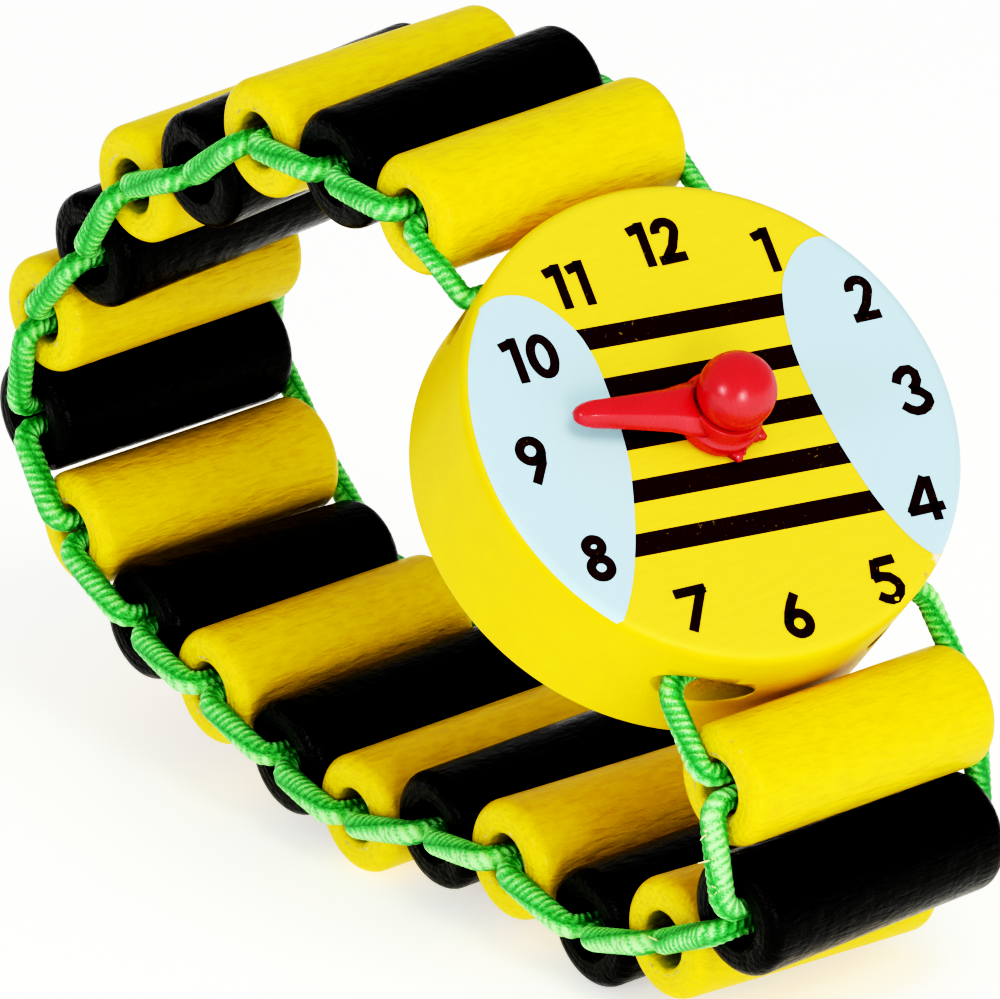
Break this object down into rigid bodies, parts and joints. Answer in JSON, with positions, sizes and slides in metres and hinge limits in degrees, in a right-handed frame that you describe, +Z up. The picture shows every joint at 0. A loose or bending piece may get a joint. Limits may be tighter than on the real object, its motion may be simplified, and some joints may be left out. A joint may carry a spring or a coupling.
{
  "type": "toy wrist watch",
  "caption": "Toy wrist watch: wooden beads laced on green elastic, round yellow wooden head with a printed striped dial and a red hand that turns on a ball-headed pin.",
  "frame": {"origin": "on the floor under the middle of the band's outline, with the watch stood on its rim", "axes": "+X towards the watch head's side, +Y along the beads, +Z up"},
  "size_m": [0.0772, 0.0316, 0.0505],
  "materials": {
    "yellow_paint": "turned hardwood under yellow semi-gloss paint",
    "black_paint": "turned hardwood under glossy black paint",
    "red_plastic": "moulded red plastic, semi-gloss",
    "green_braid": "braided textile over a rubber core"
  },
  "bodies": {
    "watch": {"head": "yellow_paint", "pin": "red_plastic", "elastic_upper": "green_braid", "elastic_lower": "green_braid"},
    "hand": {"hand": "red_plastic"},
    "link_01": {"elastic_01": "green_braid"},
    "link_02": {"elastic_02": "green_braid"},
    "link_03": {"elastic_03": "green_braid"},
    "link_04": {"elastic_04": "green_braid"},
    "link_05": {"elastic_05": "green_braid"},
    "link_06": {"elastic_06": "green_braid"},
    "link_07": {"elastic_07": "green_braid"},
    "link_08": {"elastic_08": "green_braid"},
    "link_09": {"elastic_09": "green_braid"},
    "link_10": {"elastic_10": "green_braid"},
    "link_11": {"elastic_11": "green_braid"},
    "link_12": {"elastic_12": "green_braid"},
    "link_13": {"elastic_13": "green_braid"},
    "link_14": {"elastic_14": "green_braid"},
    "link_15": {"elastic_15": "green_braid"},
    "link_16": {"elastic_16": "green_braid"},
    "rung_01": {"bead_01": "yellow_paint"},
    "rung_02": {"bead_02": "black_paint"},
    "rung_03": {"bead_03": "yellow_paint"},
    "rung_04": {"bead_04": "black_paint"},
    "rung_05": {"bead_05": "yellow_paint"},
    "rung_06": {"bead_06": "black_paint"},
    "rung_07": {"bead_07": "yellow_paint"},
    "rung_08": {"bead_08": "black_paint"},
    "rung_09": {"bead_09": "yellow_paint"},
    "rung_10": {"bead_10": "black_paint"},
    "rung_11": {"bead_11": "yellow_paint"},
    "rung_12": {"bead_12": "black_paint"},
    "rung_13": {"bead_13": "yellow_paint"},
    "rung_14": {"bead_14": "black_paint"},
    "rung_15": {"bead_15": "yellow_paint"},
    "rung_16": {"bead_16": "black_paint"},
    "rung_17": {"bead_17": "yellow_paint"},
    "rung_18": {"bead_18": "black_paint"},
    "rung_19": {"bead_19": "yellow_paint"}
  },
  "joints": [
    {"name": "hand_turn", "type": "hinge", "parent": "watch", "child": "hand", "pos_m": [0.02395, -0.00045, 0.03494], "axis": [0.7021, -0.0872, 0.7067], "continuous": true},
    {"name": "stretch_01", "type": "slide", "parent": "watch", "child": "link_01", "axis": [-1, 0, 0], "range_m": [0, 0.00129]},
    {"name": "stretch", "type": "slide", "parent": "link_01", "child": "link_02", "axis": [-1, 0, 0], "range_m": [0, 0.00236], "stiffness_N_per_m": 5000, "springref_m": -0.0011},
    {"name": "stretch_03", "type": "slide", "parent": "link_02", "child": "link_03", "axis": [-1, 0, 0], "range_m": [0, 0.00234]},
    {"name": "stretch_04", "type": "slide", "parent": "link_03", "child": "link_04", "axis": [-1, 0, 0], "range_m": [0, 0.00212]},
    {"name": "stretch_05", "type": "slide", "parent": "link_04", "child": "link_05", "axis": [-1, 0, 0], "range_m": [0, 0.00214]},
    {"name": "stretch_06", "type": "slide", "parent": "link_05", "child": "link_06", "axis": [-1, 0, 0], "range_m": [0, 0.00165]},
    {"name": "stretch_07", "type": "slide", "parent": "link_06", "child": "link_07", "axis": [-1, 0, 0], "range_m": [0, 0.00154]},
    {"name": "stretch_08", "type": "slide", "parent": "link_07", "child": "link_08", "axis": [-1, 0, 0], "range_m": [0, 0.000621]},
    {"name": "stretch_09", "type": "slide", "parent": "link_10", "child": "link_09", "axis": [-1, 0, 0], "range_m": [0, 0.00139]},
    {"name": "stretch_10", "type": "slide", "parent": "link_11", "child": "link_10", "axis": [-1, 0, 0], "range_m": [0, 0.00183]},
    {"name": "stretch_11", "type": "slide", "parent": "link_12", "child": "link_11", "axis": [-1, 0, 0], "range_m": [0, 0.00175]},
    {"name": "stretch_12", "type": "slide", "parent": "link_13", "child": "link_12", "axis": [-1, 0, 0], "range_m": [0, 0.00181]},
    {"name": "stretch_13", "type": "slide", "parent": "link_14", "child": "link_13", "axis": [-1, 0, 0], "range_m": [0, 0.00182]},
    {"name": "stretch_14", "type": "slide", "parent": "link_15", "child": "link_14", "axis": [-1, 0, 0], "range_m": [0, 0.00185]},
    {"name": "stretch_15", "type": "slide", "parent": "link_16", "child": "link_15", "axis": [-1, 0, 0], "range_m": [0, 0.00181]},
    {"name": "stretch_16", "type": "slide", "parent": "watch", "child": "link_16", "axis": [-1, 0, 0], "range_m": [0, 0.00183]},
    {"name": "bead_01_spin", "type": "hinge", "parent": "link_01", "child": "rung_01", "pos_m": [0.00692, -0.00018, 0.04537], "axis": [0.0091, 0.9997, 0.0248], "continuous": true},
    {"name": "bead_02_spin", "type": "hinge", "parent": "link_02", "child": "rung_02", "pos_m": [-0.00083, 0, 0.04635], "axis": [-0.0067, 0.9986, 0.0526], "continuous": true},
    {"name": "bead_03_spin", "type": "hinge", "parent": "link_03", "child": "rung_03", "pos_m": [-0.00849, 0, 0.04597], "axis": [-0.0077, 0.9998, 0.016], "continuous": true},
    {"name": "bead_04_spin", "type": "hinge", "parent": "link_04", "child": "rung_04", "pos_m": [-0.01541, 0, 0.04261], "axis": [-0.0289, 0.9969, 0.0731], "continuous": true},
    {"name": "bead_05_spin", "type": "hinge", "parent": "link_05", "child": "rung_05", "pos_m": [-0.02241, 0.00018, 0.03937], "axis": [-0.0174, 0.9994, 0.0305], "continuous": true},
    {"name": "bead_06_spin", "type": "hinge", "parent": "link_06", "child": "rung_06", "pos_m": [-0.02778, 0.00018, 0.03383], "axis": [-0.0494, 0.9976, 0.0494], "continuous": true},
    {"name": "bead_07_spin", "type": "hinge", "parent": "link_07", "child": "rung_07", "pos_m": [-0.03279, -0.00018, 0.02788], "axis": [-0.0248, 0.9997, 0.009], "continuous": true},
    {"name": "bead_08_spin", "type": "hinge", "parent": "link_08", "child": "rung_08", "pos_m": [-0.03479, 0, 0.02045], "axis": [-0.0086, 1, -0.0014], "continuous": true},
    {"name": "bead_09_spin", "type": "hinge", "parent": "link_09", "child": "rung_09", "pos_m": [-0.03052, -0.00009, 0.01411], "axis": [0.0262, 0.9994, 0.0231], "continuous": true},
    {"name": "bead_10_spin", "type": "hinge", "parent": "link_10", "child": "rung_10", "pos_m": [-0.02475, 0.00027, 0.00908], "axis": [-0.0296, 0.9986, -0.0437], "continuous": true},
    {"name": "bead_11_spin", "type": "hinge", "parent": "link_11", "child": "rung_11", "pos_m": [-0.01713, 0, 0.00745], "axis": [-0.0034, 1, 0.0009], "continuous": true},
    {"name": "bead_12_spin", "type": "hinge", "parent": "link_12", "child": "rung_12", "pos_m": [-0.00985, 0.00022, 0.00508], "axis": [0.0042, 0.9998, 0.0169], "continuous": true},
    {"name": "bead_13_spin", "type": "hinge", "parent": "link_13", "child": "rung_13", "pos_m": [-0.00231, -0.00015, 0.00375], "axis": [0, 1, 0], "continuous": true},
    {"name": "bead_14_spin", "type": "hinge", "parent": "link_14", "child": "rung_14", "pos_m": [0.00526, 0.00018, 0.00509], "axis": [0.0043, 0.9999, 0.0092], "continuous": true},
    {"name": "bead_15_spin", "type": "hinge", "parent": "link_15", "child": "rung_15", "pos_m": [0.01296, -0.00018, 0.00536], "axis": [-0.0003, 0.999, -0.0438], "continuous": true},
    {"name": "bead_16_spin", "type": "hinge", "parent": "link_16", "child": "rung_16", "pos_m": [0.02051, 0.00009, 0.00375], "axis": [0, 1, 0], "continuous": true},
    {"name": "bead_17_spin", "type": "hinge", "parent": "watch", "child": "rung_17", "pos_m": [0.02811, -0.00009, 0.00523], "axis": [0.0212, 0.9986, -0.0479], "continuous": true},
    {"name": "bead_18_spin", "type": "hinge", "parent": "watch", "child": "rung_18", "pos_m": [0.03463, -0.00018, 0.00946], "axis": [-0.0281, 0.9996, 0.0016], "continuous": true},
    {"name": "bead_19_spin", "type": "hinge", "parent": "watch", "child": "rung_19", "pos_m": [0.03369, 0.00009, 0.01715], "axis": [0.0029, 1, -0.0064], "continuous": true}
  ],
  "couplings": [
    {"joint": "stretch_01", "follows": "stretch", "ratio": 0.5421},
    {"joint": "stretch_03", "follows": "stretch", "ratio": 0.9875},
    {"joint": "stretch_04", "follows": "stretch", "ratio": 0.8929},
    {"joint": "stretch_05", "follows": "stretch", "ratio": 0.902},
    {"joint": "stretch_06", "follows": "stretch", "ratio": 0.6931},
    {"joint": "stretch_07", "follows": "stretch", "ratio": 0.6461},
    {"joint": "stretch_08", "follows": "stretch", "ratio": 0.2582},
    {"joint": "stretch_09", "follows": "stretch", "ratio": 0.5831},
    {"joint": "stretch_10", "follows": "stretch", "ratio": 0.7693},
    {"joint": "stretch_11", "follows": "stretch", "ratio": 0.7357},
    {"joint": "stretch_12", "follows": "stretch", "ratio": 0.7609},
    {"joint": "stretch_13", "follows": "stretch", "ratio": 0.7651},
    {"joint": "stretch_14", "follows": "stretch", "ratio": 0.7771},
    {"joint": "stretch_15", "follows": "stretch", "ratio": 0.7626},
    {"joint": "stretch_16", "follows": "stretch", "ratio": 0.768}
  ]
}
